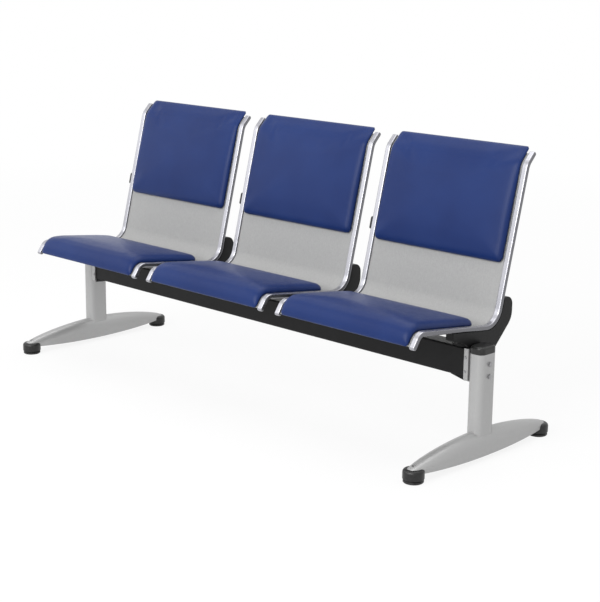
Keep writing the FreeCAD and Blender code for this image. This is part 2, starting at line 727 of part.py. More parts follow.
def arm_section(share, y, inset, drop):
    """A closed section: flat underside, short sides and a half-elliptic back."""
    swell = (1 - share ** 1.8) ** 0.8
    top = ARM_TIP_TOP + (ARM_TOP - ARM_TIP_TOP) * swell - inset
    foot = ARM_BOTTOM + (ARM_TIP_BOTTOM - ARM_BOTTOM) * share ** 2
    bottom = foot - drop
    full = (1 - share ** 2.4) ** 0.6
    half = ARM_TIP_HALF_WIDTH + (ARM_HALF_WIDTH - ARM_TIP_HALF_WIDTH) * full - inset
    shoulder = foot + ARM_SHOULDER * (top - foot)
    slant = math.sqrt(0.5)
    inner = half - ARM_CORNER
    round_x = half - ARM_CORNER * (1 - slant)
    round_z = bottom + ARM_CORNER * (1 - slant)
    low_side = bottom + ARM_CORNER
    arch_x = half * slant
    arch_z = shoulder + (top - shoulder) * slant

    def at(x, z):
        return Vector(LEG_X + x, y, z)

    return Part.Wire([
        line(at(-inner, bottom), at(inner, bottom)),
        arc(at(inner, bottom), at(round_x, round_z), at(half, low_side)),
        line(at(half, low_side), at(half, shoulder)),
        arc(at(half, shoulder), at(arch_x, arch_z), at(0, top)),
        arc(at(0, top), at(-arch_x, arch_z), at(-half, shoulder)),
        line(at(-half, shoulder), at(-half, low_side)),
        arc(at(-half, low_side), at(-round_x, round_z), at(-inner, bottom)),
    ])


def arm_form(reach, inset, drop):
    """The boat shape of an arm out to a reach, shrunk by an inset."""
    ends = [share for share in ARM_STATIONS if share * ARM_HALF_LENGTH < reach - 1]
    ends.append(reach / ARM_HALF_LENGTH)
    shares = [-share for share in reversed(ends[1:])] + ends
    wires = [arm_section(abs(share), share * ARM_HALF_LENGTH, inset, drop) for share in shares]
    return Part.makeLoft(wires, True, False)


def arm_outer():
    return arm_form(ARM_HALF_LENGTH, 0, 0)


def stem_hole(end, radius, height):
    """The upright hole for a glide's shank."""
    return Part.makeCylinder(radius, height, Vector(LEG_X, end * GLIDE_Y, 0))


def foot_arm(side):
    """A cast arm, hollow from below, with ribs, a place for the column and stem holes."""
    hollow = arm_form(ARM_HALF_LENGTH - ARM_HOLLOW_INSET, ARM_WALL, 2 * ARM_RIB_LIFT)
    ribs = []
    for inset in ARM_RIB_INSETS:
        for end in (-1, 1):
            middle = end * (ARM_HALF_LENGTH - inset)
            corner = Vector(LEG_X - ARM_HALF_WIDTH, middle - ARM_RIB_THICKNESS / 2,
                            ARM_BOTTOM + ARM_RIB_LIFT)
            ribs.append(Part.makeBox(2 * ARM_HALF_WIDTH, ARM_RIB_THICKNESS, ARM_TOP, corner))
    post = rounded_prism(COLUMN_WIDTH / 2, COLUMN_DEPTH / 2, COLUMN_CORNER,
                         ARM_BOTTOM, COLUMN_TOP, LEG_X)
    stems = [stem_hole(end, STEM_RADIUS + STEM_FIT, 2 * STEM_TOP) for end in (-1, 1)]
    return mirrored(arm_outer().cut([hollow.cut(ribs), post] + stems), side)


def revolved(points, x, y):
    """A solid turned about the upright line through X and Y, from (radius, height) corners."""
    corners = [Vector(radius, 0, height) for radius, height in points]
    corners.append(corners[0])
    solid = Part.Face(Part.makePolygon(corners)).revolve(Vector(0, 0, 0), Vector(0, 0, 1), 360)
    solid.translate(Vector(x, y, 0))
    return solid


def foot_cap(side, end):
    """A black cup that closes an arm's tip."""
    radius = FOOT_CAP_RADIUS
    low = GLIDE_HEIGHT + GLIDE_GAP
    high = FOOT_CAP_TOP
    drum = Part.makeCylinder(radius, high - low, Vector(LEG_X, end * GLIDE_Y, low))
    top = [edge for edge in drum.Edges if edge.BoundBox.ZMin > high - 0.001]
    foot = [edge for edge in drum.Edges if edge.BoundBox.ZMax < low + 0.001]
    drum = drum.makeFillet(FOOT_CAP_ROUNDING, top).makeFillet(FOOT_CAP_RIM, foot)
    cup = drum.cut([arm_outer(), stem_hole(end, STEM_RADIUS + GLIDE_GAP, high)])
    return mirrored(largest(cup), side)


def largest(shape):
    """The largest solid of a shape."""
    return max(shape.Solids, key=lambda solid: solid.Volume)


def glide_pad(side, end):
    """A round pad with the socket that holds the stem's disc."""
    radius = GLIDE_RADIUS
    high = GLIDE_HEIGHT
    disc = STEM_DISC_RADIUS + GLIDE_GAP
    neck = STEM_RADIUS + GLIDE_GAP
    floor = STEM_FLOOR - GLIDE_GAP
    roof = STEM_FLOOR + STEM_DISC_THICKNESS + GLIDE_GAP
    rim = radius - GLIDE_CHAMFER
    shoulder = radius - GLIDE_SHOULDER
    turned = revolved([(0, 0), (rim, 0), (radius, GLIDE_CHAMFER), (radius, high - GLIDE_SHOULDER),
                       (shoulder, high), (neck, high), (neck, roof), (disc, roof), (disc, floor),
                       (0, floor)], LEG_X, end * GLIDE_Y)
    return mirrored(turned, side)


def glide_stem(side, end):
    """The screw of a glide: a disc held in the pad and a shank that screws into the arm."""
    disc = STEM_DISC_RADIUS
    shank = STEM_RADIUS
    disc_top = STEM_FLOOR + STEM_DISC_THICKNESS
    stem = revolved([(0, STEM_FLOOR), (disc, STEM_FLOOR), (disc, disc_top), (shank, disc_top),
                     (shank, STEM_TOP - STEM_CHAMFER), (shank - STEM_CHAMFER, STEM_TOP),
                     (0, STEM_TOP)], LEG_X, end * GLIDE_Y)
    return mirrored(stem, side)


def seat_pieces():
    """Every piece of one seat, by name, in the middle of the bench."""
    return {
        "seat_shell": seat_shell(),
        "side_rail_left": side_rail(-1),
        "side_rail_right": side_rail(1),
        "seat_pad": pad(SEAT_PAD_RUN, SEAT_PAD_THICKNESS, SEAT_PAD_FULLNESS, 0.3, 1.0),
        "seat_pad_board": board(SEAT_PAD_RUN),
        "back_pad": pad(BACK_PAD_RUN, BACK_PAD_THICKNESS, BACK_PAD_FULLNESS, 1.0, 0.3),
        "back_pad_board": board(BACK_PAD_RUN),
        "pad_screws": pad_screws(),
        "seat_bracket_left": bracket(-1),
        "seat_bracket_right": bracket(1),
        "bracket_bolts": bracket_bolts(),
    }


def build():
    os.makedirs("parts", exist_ok=True)
    pieces = seat_pieces()
    lug = rail_lug()
    lugs = []
    for index, centre in enumerate(CENTRES):
        for name, shape in pieces.items():
            save("%s_%d" % (name, index + 1), shape.translated(Vector(centre, 0, 0)))
        lugs.append(lug.translated(Vector(centre, 0, 0)))
    save("rail_knobs", group(lugs))
    save("beam_tube", beam_tube())
    for side, side_name in ((-1, "left"), (1, "right")):
        save("beam_saddle_" + side_name, saddle(side))
        save("leg_column_" + side_name, column(side))
        save("column_cap_" + side_name, column_cap(side))
        save("leg_bolts_" + side_name, leg_bolts(side))
        save("foot_arm_" + side_name, foot_arm(side))
        for end, end_name in ((-1, "front"), (1, "rear")):
            tail = "_%s_%s" % (side_name, end_name)
            save("foot_cap" + tail, foot_cap(side, end))
            save("glide_pad" + tail, glide_pad(side, end))
            save("glide_stem" + tail, glide_stem(side, end))


build()
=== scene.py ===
import json
import math

import bpy
import numpy as np
from mathutils import Matrix, Vector


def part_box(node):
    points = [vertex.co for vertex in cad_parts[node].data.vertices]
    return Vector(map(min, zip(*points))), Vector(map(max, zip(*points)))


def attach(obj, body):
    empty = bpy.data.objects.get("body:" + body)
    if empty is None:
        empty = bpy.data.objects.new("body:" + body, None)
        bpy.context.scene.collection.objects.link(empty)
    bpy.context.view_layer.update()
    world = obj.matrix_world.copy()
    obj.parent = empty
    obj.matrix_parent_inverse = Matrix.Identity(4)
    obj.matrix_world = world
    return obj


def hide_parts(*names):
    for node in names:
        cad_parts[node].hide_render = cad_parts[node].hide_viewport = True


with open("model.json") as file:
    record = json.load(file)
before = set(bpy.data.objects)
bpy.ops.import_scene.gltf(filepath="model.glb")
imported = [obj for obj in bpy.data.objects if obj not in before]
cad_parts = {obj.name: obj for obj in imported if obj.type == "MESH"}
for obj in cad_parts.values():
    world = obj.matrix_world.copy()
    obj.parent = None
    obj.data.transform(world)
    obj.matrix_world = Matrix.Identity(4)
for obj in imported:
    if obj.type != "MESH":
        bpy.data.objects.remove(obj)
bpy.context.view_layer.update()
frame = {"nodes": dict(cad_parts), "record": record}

bl_info = {
    "name": "Beam Bench Looks",
    "version": (1, 0, 0),
    "blender": (4, 5, 0),
    "location": "3D View > Sidebar > Bench",
    "description": "Padding, finishes and studio for a row of padded seats on a beam",
    "category": "Object",
}

ROOT_BODY = "frame"
SEATS = sorted(int(name.rsplit("_", 1)[1]) for name in frame["nodes"]
               if name.startswith("seat_shell_"))
SEAT_CENTRES = {}
for seat in SEATS:
    seat_low, seat_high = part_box("seat_shell_%d" % seat)
    SEAT_CENTRES[seat] = (seat_low.x + seat_high.x) / 2

# Side line of a seat, as corners (Y, Z) from the front end over the seat and up the back.
# All sizes are in metres, and all angles in degrees, unless a name says otherwise.
SIDE_CORNERS = ((-0.246, 0.338), (-0.223, 0.3715), (0.094, 0.3335), (0.199, 0.757),
                (0.225, 0.784))
SIDE_RADII = (0.024, 0.055, 0.042)
BACK_RUN = 4
SHEET_FACE = 0.001
PAD_CLEARANCE = 0.0004

# Padding. Corners and fullness are given for the start and the far end of a pad.
SEAT_PAD_START = -0.004
SEAT_PAD_LENGTH = 0.292
SEAT_PAD_CORNERS = (0.010, 0.024)
SEAT_CROWN = 0.010
SEAT_ROLL = 0.024
SEAT_FRONT_FULLNESS = 0.52
SEAT_FRONT_REACH = 0.085
SEAT_REAR_FULLNESS = 0.88
SEAT_REAR_REACH = 0.10
BACK_PAD_START_Z = 0.496
BACK_PAD_OVERHANG = 0.019
BACK_PAD_TOP_ROLL = 0.4
BACK_PAD_CORNERS = (0.016, 0.010)
BACK_CROWN = 0.006
BACK_ROLL = 0.025
BACK_TOP_FULLNESS = 0.48
BACK_TOP_REACH = 0.20

# Rings of a pad: the underside's inset and shares, the edge's two rings, the height of the seam
# as a share of the side, the steps of the rolled side and the shares of the crown.
UNDER_INSET = 0.006
UNDER_SHARES = (0.15, 0.4, 0.65, 0.85)
EDGE_RINGS = ((0.004, 1.0, 0.0), (0.001, 1.0, 0.0006))
SEAM_SHARE = 0.12
ROLL_STEPS = 16
CROWN_SHARES = (0.97, 0.93, 0.87, 0.79, 0.69, 0.57, 0.44, 0.30, 0.15)

# Steps round a pad's outline, and its least corner
CORNER_STEPS = 14
LONG_STEPS = 60
SHORT_STEPS = 44
LEAST_CORNER = 0.0015

# Cloth: size of its mesh, frames of the simulation, what counts as the underside, and how the
# points are compared with the side line
VOXEL = 0.005
CLOTH_FRAMES = 20
CLOTH_QUALITY = 6
CLOTH_MASS = 0.2
CLOTH_STRETCH = 60
CLOTH_SHEAR = 30
CLOTH_BEND = 25
SMOOTH_FACTOR = 0.5
SMOOTH_STEPS = 8
UNDERSIDE_REACH = 0.0035
LINE_MARGIN = 0.02
LINE_POINTS = 1500
BLOCK = 4000

# Studio
FLOOR_HALF = 150.0
FLOOR_NEAR = 1.2
FLOOR_FAR = 5.0
FLOOR_WHITE_SHARE = 0.88
FLOOR_GREY = 0.85
WORLD_LIGHT = 0.52
LIGHT_TARGET = (0, 0, 0.4)
KEY_PLACE = (0.8, -4.7, 3.0)
KEY_SIZE = 3.0
KEY_WATTS = 215.0
FILL_PLACE = (-3.4, -3.0, 2.6)
FILL_SIZE = 3.0
FILL_WATTS = 30.0
TOP_PLACE = (0.0, 0.6, 4.2)
TOP_SIZE = 4.0
TOP_WATTS = 90.0

# The photograph's frame in pixels, and the camera fitted to it
PHOTO_WIDTH = 600
PHOTO_HEIGHT = 602
CAMERA_PLACE = (2.996, -2.918, 1.3015)
CAMERA_AZIMUTH = 44.4
CAMERA_ELEVATION = 13.5
CAMERA_ROLL = 0.7
CAMERA_FOCAL_PIXELS = 1439.0
CAMERA_CENTRE_PIXELS = (297.0, 295.0)
SENSOR_WIDTH_MM = 36.0
VIEW_END = 300.0


# Properties

class BenchSizes(bpy.types.PropertyGroup):
    """Sizes of the padding that a user would change."""
    side_gap: bpy.props.FloatProperty(
        name="Side gap", description="Gap between a pad and each side of its CAD solid",
        default=0.0015, unit="LENGTH")
    seat_pad_depth: bpy.props.FloatProperty(
        name="Seat pad thickness", description="Full thickness of a seat pad", default=0.034,
        unit="LENGTH")
    back_pad_depth: bpy.props.FloatProperty(
        name="Back pad thickness", description="Full thickness of a back pad", default=0.026,
        unit="LENGTH")
    swell: bpy.props.FloatProperty(
        name="Swell", description="The most that the stuffing may push the cover out",
        default=0.0025, unit="LENGTH")
    pressure: bpy.props.FloatProperty(
        name="Pressure", description="Pressure of the stuffing on the cover", default=1.5)


class BenchColours(bpy.types.PropertyGroup):
    """Colours of the finishes."""
    cover: bpy.props.FloatVectorProperty(
        name="Cover", description="Blue synthetic leather", subtype="COLOR", size=3,
        default=(0.0086, 0.0262, 0.120))
    cover_dark: bpy.props.FloatVectorProperty(
        name="Cover, dark", description="Darker patches of the cover", subtype="COLOR", size=3,
        default=(0.0067, 0.0213, 0.104))
    sheet: bpy.props.FloatVectorProperty(
        name="Sheet", description="Grey finish of the bent sheets", subtype="COLOR", size=3,
        default=(0.34, 0.34, 0.337))
    bright: bpy.props.FloatVectorProperty(
        name="Bright rails", description="Bright metal of the side rails", subtype="COLOR",
        size=3, default=(0.44, 0.44, 0.475))
    silver: bpy.props.FloatVectorProperty(
        name="Silver", description="Silver coat of the legs", subtype="COLOR", size=3,
        default=(0.40, 0.40, 0.40))
    black: bpy.props.FloatVectorProperty(
        name="Black coat", description="Black coat of the beam and brackets", subtype="COLOR",
        size=3, default=(0.004, 0.004, 0.0043))
    plastic: bpy.props.FloatVectorProperty(
        name="Black plastic", description="Moulded caps and glides", subtype="COLOR", size=3,
        default=(0.010, 0.010, 0.010))
    zinc: bpy.props.FloatVectorProperty(
        name="Zinc", description="Bolts, screws and stems", subtype="COLOR", size=3,
        default=(0.36, 0.36, 0.37))


# Side line

class SideLine:
    """Straight runs joined by tangent bends, as start points, headings and curvatures."""

    def __init__(self, corners, radii):
        points = [np.array(corner) for corner in corners]
        self.starts = []
        self.headings = []
        self.curvatures = []
        self.lengths = []
        place = points[0]
        for before, corner, after, radius in zip(points, points[1:], points[2:], radii):
            heading = math.atan2(*(corner - before)[::-1])
            next_heading = math.atan2(*(after - corner)[::-1])
            turn = (next_heading - heading + math.pi) % (2 * math.pi) - math.pi
            setback = radius * math.tan(abs(turn) / 2)
            run = np.linalg.norm(corner - place) - setback
            self.add(place, heading, 0.0, run)
            bend_start = place + run * np.array([math.cos(heading), math.sin(heading)])
            self.add(bend_start, heading, math.copysign(1 / radius, turn), radius * abs(turn))
            place = corner + setback * np.array([math.cos(next_heading), math.sin(next_heading)])
        last = points[-1] - place
        self.add(place, math.atan2(last[1], last[0]), 0.0, np.linalg.norm(last))
        self.ends = np.cumsum(self.lengths)

    def add(self, start, heading, curvature, length):
        self.starts.append(np.array(start))
        self.headings.append(heading)
        self.curvatures.append(curvature)
        self.lengths.append(length)

    def place(self, along, depth):
        """Y and Z at a length along the line and a depth square to it, on the sitter's side.

        On a run the point moves straight on; on a bend it moves round the bend's circle."""
        index = np.clip(np.searchsorted(self.ends, along), 0, len(self.lengths) - 1)
        starts = np.array(self.starts)[index]
        heading = np.array(self.headings)[index]
        curvature = np.array(self.curvatures)[index]
        local = along - (self.ends - np.array(self.lengths))[index]
        turned = heading + curvature * local
        bent = np.where(np.abs(curvature) > 1e-9, curvature, 1.0)
        run_y = local * np.cos(heading)
        run_z = local * np.sin(heading)
        bend_y = (np.sin(turned) - np.sin(heading)) / bent
        bend_z = (np.cos(heading) - np.cos(turned)) / bent
        straight = np.abs(curvature) < 1e-9
        y = starts[..., 0] + np.where(straight, run_y, bend_y) - depth * np.sin(turned)
        z = starts[..., 1] + np.where(straight, run_z, bend_z) + depth * np.cos(turned)
        return y, z


SIDE = SideLine(SIDE_CORNERS, SIDE_RADII)


def half_width(node, sizes):
    """Half the width of a pad, from the CAD solid that it stands for."""
    low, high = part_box(node)
    return (high.x - low.x) / 2 - sizes.side_gap


# Meshes

def mesh_object(name, points, faces, smooth=True):
    """A new object from arrays of points and faces."""
    mesh = bpy.data.meshes.new(name)
    mesh.from_pydata([tuple(point) for point in points], [], faces)
    mesh.update()
    mesh.polygons.foreach_set("use_smooth", [smooth] * len(mesh.polygons))
    piece = bpy.data.objects.new(name, mesh)
    bpy.context.scene.collection.objects.link(piece)
    return piece


def ring_faces(rows, columns, first_pole, last_pole):
    """Quads between rings that close on themselves, and fans to the two poles."""
    row, column = np.meshgrid(np.arange(rows - 1), np.arange(columns), indexing="ij")
    following = (column + 1) % columns
    quads = np.stack([row * columns + column, row * columns + following,
                      (row + 1) * columns + following, (row + 1) * columns + column], axis=-1)
    faces = [tuple(face) for face in quads.reshape(-1, 4).tolist()]
    around = np.arange(columns)
    after = (around + 1) % columns
    faces += [(first_pole, b, a) for a, b in zip(around.tolist(), after.tolist())]
    base = (rows - 1) * columns
    faces += [(last_pole, base + a, base + b) for a, b in zip(around.tolist(), after.tolist())]
    return faces


def outline_steps():
    """The walk round a rounded rectangle, as a box place and a turn for each step.

    A corner keeps its box place while the turn goes through a quarter, and a side keeps its turn
    while the box place goes straight from one corner to the next."""
    places = []
    turns = []
    corners = ((1, -1), (1, 1), (-1, 1), (-1, -1))
    for number, (here, after) in enumerate(zip(corners, corners[1:] + corners[:1])):
        first = math.pi / 2 * (number - 1)
        quarter = np.linspace(first, first + math.pi / 2, CORNER_STEPS)
        steps = SHORT_STEPS if number % 2 == 0 else LONG_STEPS
        share = np.linspace(0, 1, steps + 1)[1:-1, None]
        places.append(np.repeat([here], CORNER_STEPS, axis=0))
        turns.append(quarter)
        places.append(np.array(here) * (1 - share) + np.array(after) * share)
        turns.append(np.full(steps - 1, quarter[-1]))
    return np.vstack(places).astype(float), np.concatenate(turns)


def pad_surface(half_width, start, end, profile, corners, fullness, far_roll=1.0):
    """A closed pad on the side line.

    Each ring is a rounded rectangle: the box place times the half sides less the corner radius,
    plus the radius turned by the step's angle. It is drawn in by the ring's inset, at the far end
    by a share of it, or shrunk by the ring's share. Its depth is the ring's depth times the
    fullness at that length along the seat."""
    box, turn = outline_steps()
    half_length = (end - start) / 2
    middle = (start + end) / 2
    inset = np.array([step[0] for step in profile])[:, None]
    share = np.array([step[1] for step in profile])[:, None]
    depth = np.array([step[2] for step in profile])[:, None]
    radius = np.where(box[:, 1] < 0, corners[0], corners[1])[None]
    radius = np.maximum(radius - inset, LEAST_CORNER)
    x = share * (box[:, 0] * (half_width - inset - radius) + radius * np.cos(turn))
    drawn = inset * (1 + (far_roll - 1) * np.clip(box[:, 1], 0, 1))
    along = middle + share * (box[:, 1] * (half_length - drawn - radius) + radius * np.sin(turn))
    full = SHEET_FACE + PAD_CLEARANCE + depth * fullness(along)
    y, z = SIDE.place(along, full)
    points = np.stack([x, y, z], axis=-1).reshape(-1, 3)
    poles = []
    for step in (profile[0], profile[-1]):
        pole_y, pole_z = SIDE.place(np.array([middle]), np.array(
            [SHEET_FACE + PAD_CLEARANCE + step[2] * float(fullness(np.array([middle]))[0])]))
        poles.append((0.0, pole_y[0], pole_z[0]))
    rows = len(profile)
    columns = len(turn)
    count = rows * columns
    return np.vstack([points, poles]), ring_faces(rows, columns, count, count + 1)


def pad_profile(depth, crown, roll):
    """Rings of a pad as (inset, share, depth): flat underside, rolled side, crowned face.

    The side leaves the seam at the sheet in a quarter ellipse as wide as the roll, and the crown
    falls off with the square of the share."""
    rings = [(UNDER_INSET, share, 0.0) for share in UNDER_SHARES]
    rings += EDGE_RINGS
    edge = depth - crown
    upright = SEAM_SHARE * edge
    for step in range(ROLL_STEPS + 1):
        turn = math.pi / 2 * step / ROLL_STEPS
        rings.append((roll * (1 - math.cos(turn)), 1.0,
                      upright + (edge - upright) * math.sin(turn)))
    rings += [(roll, share, edge + crown * (1 - share ** 2)) for share in CROWN_SHARES]
    return rings


def ease(length, reach, least):
    """From the least value up to 1 within the reach, along a quarter of a sine wave."""
    return least + (1 - least) * np.sin(np.clip(length / reach, 0, 1) * math.pi / 2)


def seat_fullness(along):
    """Thinner over the rolled front, fullest in the middle of the seat."""
    front = ease(along, SEAT_FRONT_REACH, SEAT_FRONT_FULLNESS)
    rear = ease(SEAT_PAD_LENGTH + SEAT_PAD_START - along, SEAT_REAR_REACH, SEAT_REAR_FULLNESS)
    return front * rear


def back_fullness(along):
    """Full on the back's straight run, thinner where the pad rolls over the top."""
    return ease(SIDE.ends[-1] - along, BACK_TOP_REACH, BACK_TOP_FULLNESS)


def stuff(piece, swell, pressure):
    """Blow the cover up with cloth pressure: underside held, movement capped, result applied."""
    context = bpy.context
    remesh = piece.modifiers.new("remesh", "REMESH")
    remesh.mode = "VOXEL"
    remesh.voxel_size = VOXEL
    apply_modifiers(piece)
    mesh = piece.data
    count = len(mesh.vertices)
    rest = np.empty(count * 3)
    mesh.vertices.foreach_get("co", rest)
    rest = rest.reshape(-1, 3)
    held = piece.vertex_groups.new(name="held")
    low = underside_weight(rest)
    for index in np.nonzero(low > 0)[0].tolist():
        held.add([index], float(low[index]), "REPLACE")
    cloth = piece.modifiers.new("cloth", "CLOTH")
    settings = cloth.settings
    settings.quality = CLOTH_QUALITY
    settings.mass = CLOTH_MASS
    settings.tension_stiffness = CLOTH_STRETCH
    settings.compression_stiffness = CLOTH_STRETCH
    settings.shear_stiffness = CLOTH_SHEAR
    settings.bending_stiffness = CLOTH_BEND
    settings.vertex_group_mass = "held"
    settings.use_pressure = True
    settings.uniform_pressure_force = pressure
    settings.effector_weights.gravity = 0
    cloth.collision_settings.use_collision = False
    scene = context.scene
    for number in range(1, CLOTH_FRAMES + 1):
        scene.frame_set(number)
    evaluated = piece.evaluated_get(context.evaluated_depsgraph_get())
    moved = np.empty(count * 3)
    evaluated.data.vertices.foreach_get("co", moved)
    moved = moved.reshape(-1, 3)
    scene.frame_set(1)
    piece.modifiers.clear()
    shift = moved - rest
    length = np.linalg.norm(shift, axis=1, keepdims=True)
    shift *= np.minimum(1.0, swell / np.maximum(length, 1e-9))
    mesh.vertices.foreach_set("co", (rest + shift).ravel())
    mesh.update()
    smooth = piece.modifiers.new("smooth", "SMOOTH")
    smooth.factor = SMOOTH_FACTOR
    smooth.iterations = SMOOTH_STEPS
    finer = piece.modifiers.new("finer", "SUBSURF")
    finer.levels = 1
    finer.render_levels = 1
    apply_modifiers(piece)
    piece.vertex_groups.clear()
    piece.data.polygons.foreach_set("use_smooth", [True] * len(piece.data.polygons))


def underside_weight(points):
    """One on the points that lie on the sheet, nothing elsewhere.

    Their depth off the side line is their least distance to a fine row of places along it."""
    along = np.linspace(-LINE_MARGIN, SIDE.ends[-1] + LINE_MARGIN, LINE_POINTS)
    y, z = SIDE.place(along, np.zeros_like(along))
    line = np.stack([y, z], axis=-1)
    near = np.empty(len(points))
    for first in range(0, len(points), BLOCK):
        block = points[first:first + BLOCK, 1:]
        gaps = np.linalg.norm(block[:, None, :] - line[None], axis=-1)
        near[first:first + BLOCK] = gaps.min(axis=1)
    return np.where(near < SHEET_FACE + PAD_CLEARANCE + UNDERSIDE_REACH, 1.0, 0.0)


def apply_modifiers(piece):
    """Make the modified mesh the piece's own."""
    graph = bpy.context.evaluated_depsgraph_get()
    graph.update()
    mesh = bpy.data.meshes.new_from_object(piece.evaluated_get(graph), depsgraph=graph)
    old = piece.data
    piece.modifiers.clear()
    piece.data = mesh
    mesh.name = piece.name
    bpy.data.meshes.remove(old)


def copies_for_seats(piece, name, node, material):
    """The finished pad on each seat, standing for that seat's node."""
    source = piece.data
    for seat in SEATS:
        mesh = source.copy()
        mesh.transform(Matrix.Translation((SEAT_CENTRES[seat], 0, 0)))
        mesh.name = "%s_%d" % (name, seat)
        mesh.materials.clear()
        mesh.materials.append(material)
        pad = bpy.data.objects.new("%s_%d" % (name, seat), mesh)
        bpy.context.scene.collection.objects.link(pad)
        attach(pad, ROOT_BODY)
        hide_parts("%s_%d" % (node, seat))
    bpy.data.objects.remove(piece)
    bpy.data.meshes.remove(source)


# Materials

class Finish:
    """A node material with a Principled shader and short ways to add nodes."""

    def __init__(self, name):
        self.material = bpy.data.materials.new(name)
        self.material.use_nodes = True
        self.tree = self.material.node_tree
        self.shader = self.tree.nodes["Principled BSDF"]
        self.place = self.node("ShaderNodeTexCoord").outputs["Object"]

    def node(self, kind, **settings):
        made = self.tree.nodes.new(kind)
        for key, value in settings.items():
            setattr(made, key, value)
        return made

    def link(self, output, target):
        self.tree.links.new(output, target)

    def set(self, **values):
        for key, value in values.items():
            self.shader.inputs[key.replace("_", " ")].default_value = value

    def stretched(self, scale):
        """Object coordinates times a scale for each axis."""
        mapping = self.node("ShaderNodeMapping")
        mapping.inputs["Scale"].default_value = scale
        self.link(self.place, mapping.inputs["Vector"])
        return mapping.outputs["Vector"]

    def noise(self, scale, detail=3.0, roughness=0.5, vector=None):
        made = self.node("ShaderNodeTexNoise")
        made.inputs["Scale"].default_value = scale
        made.inputs["Detail"].default_value = detail
        made.inputs["Roughness"].default_value = roughness
        self.link(vector or self.place, made.inputs["Vector"])
        return made.outputs["Fac"]

    def cells(self, scale):
        made = self.node("ShaderNodeTexVoronoi", feature="DISTANCE_TO_EDGE")
        made.inputs["Scale"].default_value = scale
        self.link(self.place, made.inputs["Vector"])
        return made.outputs["Distance"]

    def spread(self, value, low, high, to_low, to_high):
        """Map a range of a value onto another."""
        made = self.node("ShaderNodeMapRange")
        made.inputs["From Min"].default_value = low
        made.inputs["From Max"].default_value = high
        made.inputs["To Min"].default_value = to_low
        made.inputs["To Max"].default_value = to_high
        self.link(value, made.inputs["Value"])
        return made.outputs["Result"]

    def colours(self, value, low_colour, high_colour):
        """Mix two colours by a value."""
        made = self.node("ShaderNodeMix", data_type="RGBA")
        made.inputs["A"].default_value = (*low_colour, 1)
        made.inputs["B"].default_value = (*high_colour, 1)
        self.link(value, made.inputs["Factor"])
        return made.outputs["Result"]

    def colour_from(self, output):
        self.link(output, self.shader.inputs["Base Color"])

    def roughness_from(self, output):
        self.link(output, self.shader.inputs["Roughness"])

    def bump(self, height, distance, strength, below=None):
        made = self.node("ShaderNodeBump")
        made.inputs["Distance"].default_value = distance
        made.inputs["Strength"].default_value = strength
        self.link(height, made.inputs["Height"])
        if below is not None:
            self.link(below, made.inputs["Normal"])
        return made.outputs["Normal"]

    def normal_from(self, output):
        self.link(output, self.shader.inputs["Normal"])


def scaled(colour, factor):
    """A colour made lighter or darker."""
    return tuple(min(1.0, channel * factor) for channel in colour)


def cover_finish(colours):
    """Blue synthetic leather: fine pebbled grain, a little sheen and soft patches."""
    finish = Finish("blue_cover")
    patches = finish.noise(7.0, 2.0)
    finish.colour_from(finish.colours(finish.spread(patches, 0.35, 0.65, 0, 1),
                                      colours.cover_dark, colours.cover))
    finish.roughness_from(finish.spread(finish.noise(60.0), 0.3, 0.7, 0.36, 0.46))
    grain = finish.spread(finish.cells(750.0), 0.0, 0.25, 0, 1)
    pores = finish.noise(2600.0, 2.0)
    fine = finish.bump(pores, 0.0002, 0.15)
    finish.normal_from(finish.bump(grain, 0.00025, 0.35, fine))
    finish.set(Specular_IOR_Level=0.06, Coat_Weight=0.6, Coat_Roughness=0.38, Coat_IOR=1.28)
    return finish.material


def sheet_finish(colours):
    """Satin grey sheet with a faint mottle and rolling marks."""
    finish = Finish("grey_sheet")
    marks = finish.noise(1.0, 4.0, 0.6, finish.stretched((420.0, 90.0, 90.0)))
    mottle = finish.noise(240.0, 3.0)
    both = finish.node("ShaderNodeMath", operation="ADD")
    finish.link(marks, both.inputs[0])
    finish.link(mottle, both.inputs[1])
    value = finish.spread(both.outputs[0], 0.75, 1.25, 0, 1)
    finish.colour_from(finish.colours(value, scaled(colours.sheet, 0.93),
                                      scaled(colours.sheet, 1.06)))
    finish.roughness_from(finish.spread(mottle, 0.3, 0.7, 0.42, 0.55))
    finish.normal_from(finish.bump(mottle, 0.0002, 0.12))
    finish.set(Metallic=0.0, Specular_IOR_Level=0.3)
    return finish.material


def bright_finish(colours):
    """Bright metal, slightly brushed along the rail, with painted shade: faces that turn sideways
    along X get a darker colour.
    """
    finish = Finish("bright_metal")
    streaks = finish.noise(1.0, 3.0, 0.5, finish.stretched((900.0, 60.0, 60.0)))
    sides = finish.node("ShaderNodeSeparateXYZ")
    finish.link(finish.node("ShaderNodeTexCoord").outputs["Normal"], sides.inputs[0])
    painted_side_shade = finish.node("ShaderNodeMath", operation="ABSOLUTE")
    finish.link(sides.outputs["X"], painted_side_shade.inputs[0])
    # Painted shade: the colour darkens towards 0.42 of the bright colour on faces whose normal
    # points along X, standing in for darker reflections on the rail's sides.
    finish.colour_from(finish.colours(finish.spread(painted_side_shade.outputs[0], 0.35, 0.9, 0, 1),
                                      colours.bright, scaled(colours.bright, 0.42)))
    finish.roughness_from(finish.spread(streaks, 0.3, 0.7, 0.24, 0.38))
    finish.normal_from(finish.bump(streaks, 0.0001, 0.08))
    finish.set(Metallic=1.0)
    return finish.material


def silver_finish(colours):
    """Silver powder coat: fine flake and slight orange peel."""
    finish = Finish("silver_coat")
    flake = finish.noise(2200.0, 2.0)
    finish.colour_from(finish.colours(finish.spread(flake, 0.35, 0.65, 0, 1),
                                      scaled(colours.silver, 0.92), scaled(colours.silver, 1.1)))
    finish.roughness_from(finish.spread(finish.noise(90.0), 0.3, 0.7, 0.36, 0.46))
    finish.normal_from(finish.bump(finish.noise(700.0, 2.0), 0.0002, 0.10))
    finish.set(Metallic=0.45)
    return finish.material


